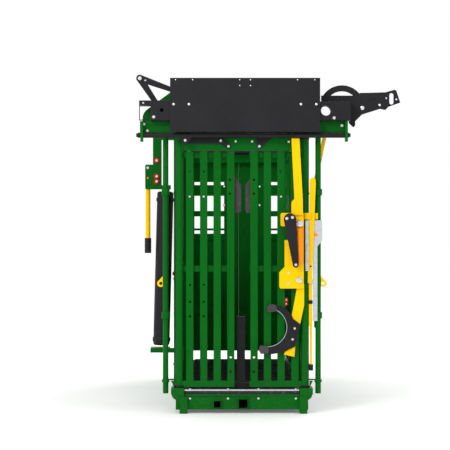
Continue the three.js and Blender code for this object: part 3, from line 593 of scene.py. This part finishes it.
latch = bmesh.new()
add_plate(latch, [(291, 731), (296, 722), (313, 733), (313, 777), (308, 783), (296, 783), (291, 777)],
          -1394, -1384)
finish_piece("red_latch", latch, "red_paint", "door_right_body", 2)
bolts("red_latch_bolts", "door_right_body", [(302, -1394, 768, 5), (302, -1394, 742, 5)])

SQUEEZE_LEVER_X, SQUEEZE_LEVER_Y = -661, -890
handle_grip = bmesh.new()
profile = [(20.3, 1079.5), (22, 1080)]
for k in range(11):
    profile += [(22.6, 1083 + k * 9.2), (24.2, 1087 + k * 9.2), (22.6, 1091 + k * 9.2)]
add_lathe(handle_grip, profile + [(22, 1185.5), (20.3, 1186)], (SQUEEZE_LEVER_X, SQUEEZE_LEVER_Y, 0),
          segments=32)
finish_piece("squeeze_lever_grip", handle_grip, "grip_rubber", "squeeze_lever_body")

mount_y = face_y("lever_mount")
BUSH_ZS = (1734, 1622, 1587)
bolts("lever_mount_bolts", "frame", [(-598, mount_y - 12, z, 9) for z in BUSH_ZS])
bushes = bmesh.new()
for z in BUSH_ZS:
    add_lathe(bushes, [(0, 0.1), (19, 0.1), (20, 2), (20, 9), (17, 12), (0, 12)],
              (-598, mount_y, z), TOWARDS_FRONT, 32)
finish_piece("lever_mount_bushes", bushes, "red_paint", "frame")
bolts("squeeze_pivot_bolt", "frame", [(SQUEEZE_LEVER_X, mount_y, 1683, 9)])
bolts("squeeze_stop_bolt", "frame", [(SQUEEZE_LEVER_X, mount_y, 1610, 7)], finish="orange_paint")

tilt = Matrix.Rotation(0.027, 4, "Y")  # the canister leans a little
rings = bmesh.new()
for low, high in ((-84, -58), (-1076, -1046)):
    add_lathe(rings, [(58.3, low), (62, low), (63.5, low + 3), (63.5, high - 3), (62, high), (58.3, high)],
              (-537, -890, 1528), tilt=tilt, segments=44)
finish_piece("canister_rings", rings, "black_coat", "frame")

# ---- Sides and rear ------------------------------------------------------------------------------
ALONG_Y = (0, 1, 0)
PANEL_OUTER_X = 440
LATCH_YS = (-640, 1090)
POST_FACE_X = 474.1
POST_BOLT_ZS = (300, 900, 1500)
for side, sign in SIDES:
    panel = f"panel_{side}_body"
    outer = sign * PANEL_OUTER_X
    away = (sign, 0, 0)
    knuckles = bmesh.new()
    for y in (-700, -240, 240, 700, 1150):
        add_lathe(knuckles, [(0, -32), (7, -32), (8, -30), (8, 30), (7, 32), (0, 32)],
                  (sign * 449, y, 213), ALONG_Y, 20)
    finish_piece(f"panel_hinges_{side}", knuckles, "zinc_steel", panel)
    slide = bmesh.new()
    for y in LATCH_YS:
        add_block(slide, sorted((outer + sign * 0.2, outer + sign * 7)), (y - 42, y + 42), (908, 946))
        add_lathe(slide, [(0, -58), (8, -58), (9, -56), (9, 56), (8, 58), (0, 58)],
                  (outer + sign * 15, y, 927), ALONG_Y, 20)
    finish_piece(f"panel_latches_{side}", slide, "black_coat", panel, 1.2)
    knobs = bmesh.new()
    for y in LATCH_YS:
        add_lathe(knobs, [(0, 0), (6, 0), (6, 10), (13, 14), (15, 22), (13, 30), (6, 33), (0, 33)],
                  (outer + sign * 23, y, 927), away, 24)
    finish_piece(f"panel_knobs_{side}", knobs, "red_paint", panel)
    points = [(outer - sign * 0.1, y, z, 6) for y in (-740, -100, 330, 800) for z in (232, 964)]
    bolts(f"panel_bolts_{side}", panel, points, style=add_dome, axis=away)
    points = [(sign * POST_FACE_X, y, z, 9) for y in (-990, 1350) for z in POST_BOLT_ZS]
    bolts(f"post_bolts_{side}", "frame", points, axis=away)
    points = [(sign * POST_FACE_X, y, 1930, 9) for y in (-1200, -880, 1240)]
    bolts(f"rail_bolts_{side}", "frame", points, axis=away)

    tail = f"tail_{side}_body"
    handle = bmesh.new()
    for z in (906, 1074):
        add_lathe(handle, [(0, 0), (8, 0), (8, 26), (6, 28), (0, 28)], (sign * 60, 1443, z), ALONG_Y, 20)
    add_lathe(handle, [(0, 892), (9, 892), (10, 896), (10, 1084), (9, 1088), (0, 1088)],
              (sign * 60, 1468, 0), segments=20)
    finish_piece(f"tail_handle_{side}", handle, "yellow_paint", tail)
    points = [(sign * x, 1443, z, 7) for x in (17, 200, 386) for z in (1183, 1373, 1568)]
    bolts(f"tail_bolts_{side}", tail, points, axis=ALONG_Y)

    gate = f"neck_gate_{side}_body"
    hook = bmesh.new()
    add_lathe(hook, [(0, -44), (7, -44), (8, -42), (8, 42), (7, 44), (0, 44)],
              (sign * 542, -1000, 1060), (0, 0, 1), 20)
    finish_piece(f"neck_gate_latch_{side}", hook, "zinc_steel", gate)

# ---- Floor, light and camera ---------------------------------------------------------------------
floor_mesh = bpy.data.meshes.new("studio_floor")
FLOOR_HALF, FLOOR_Z = 90, -0.0003
corners = [(a * FLOOR_HALF, b * FLOOR_HALF) for a, b in ((-1, -1), (1, -1), (1, 1), (-1, 1))]
floor_mesh.from_pydata([(x, y, FLOOR_Z) for x, y in corners], [], [(0, 1, 2, 3)])
floor = bpy.data.objects.new("studio_floor", floor_mesh)
bpy.context.scene.collection.objects.link(floor)
pale = Graph("pale_floor")
tone = pale.mix(pale.span(pale.noise(0.8, 3), 0.3, 0.7), linear(244, 244, 244), linear(238, 238, 238))
pale.link(tone, pale.shader.inputs["Base Color"])
pale.shader.inputs["Roughness"].default_value = 0.85
pale.shader.inputs["Emission Color"].default_value = (1, 1, 1, 1)
pale.shader.inputs["Emission Strength"].default_value = 0.12
floor_mesh.materials.append(pale.material)


def area_light(name, place, target, size, power, colour=(1, 1, 1)):
    light = bpy.data.lights.new(name, "AREA")
    light.shape = "RECTANGLE"
    light.size, light.size_y = size
    light.energy = power
    light.color = colour
    obj = bpy.data.objects.new(name, light)
    obj.location = place
    obj.rotation_euler = (Vector(target) - Vector(place)).to_track_quat("-Z", "Y").to_euler()
    bpy.context.scene.collection.objects.link(obj)


area_light("key", (-4.0, -9.0, 5.5), (0, -0.8, 1.1), (2.4, 2.4), 330)
area_light("rear_key", (4.5, 8.5, 5.0), (0, 1, 1), (3, 3), 260)

world = bpy.data.worlds.new("studio")
bpy.context.scene.world = world
world.use_nodes = True
sky = world.node_tree.nodes["Background"]
sky.inputs["Color"].default_value = (1, 1, 1, 1)
sky.inputs["Strength"].default_value = 1.0

camera_data = bpy.data.cameras.new("camera")
camera_data.lens = 140
camera_data.sensor_width = 36
camera_data.clip_end = 100
camera = bpy.data.objects.new("camera", camera_data)
camera.location = (-0.115, -13.3, 1.278)
camera.rotation_euler = (math.pi / 2, 0, 0)
bpy.context.scene.collection.objects.link(camera)
bpy.context.scene.camera = camera
bpy.context.scene.view_settings.view_transform = "Standard"
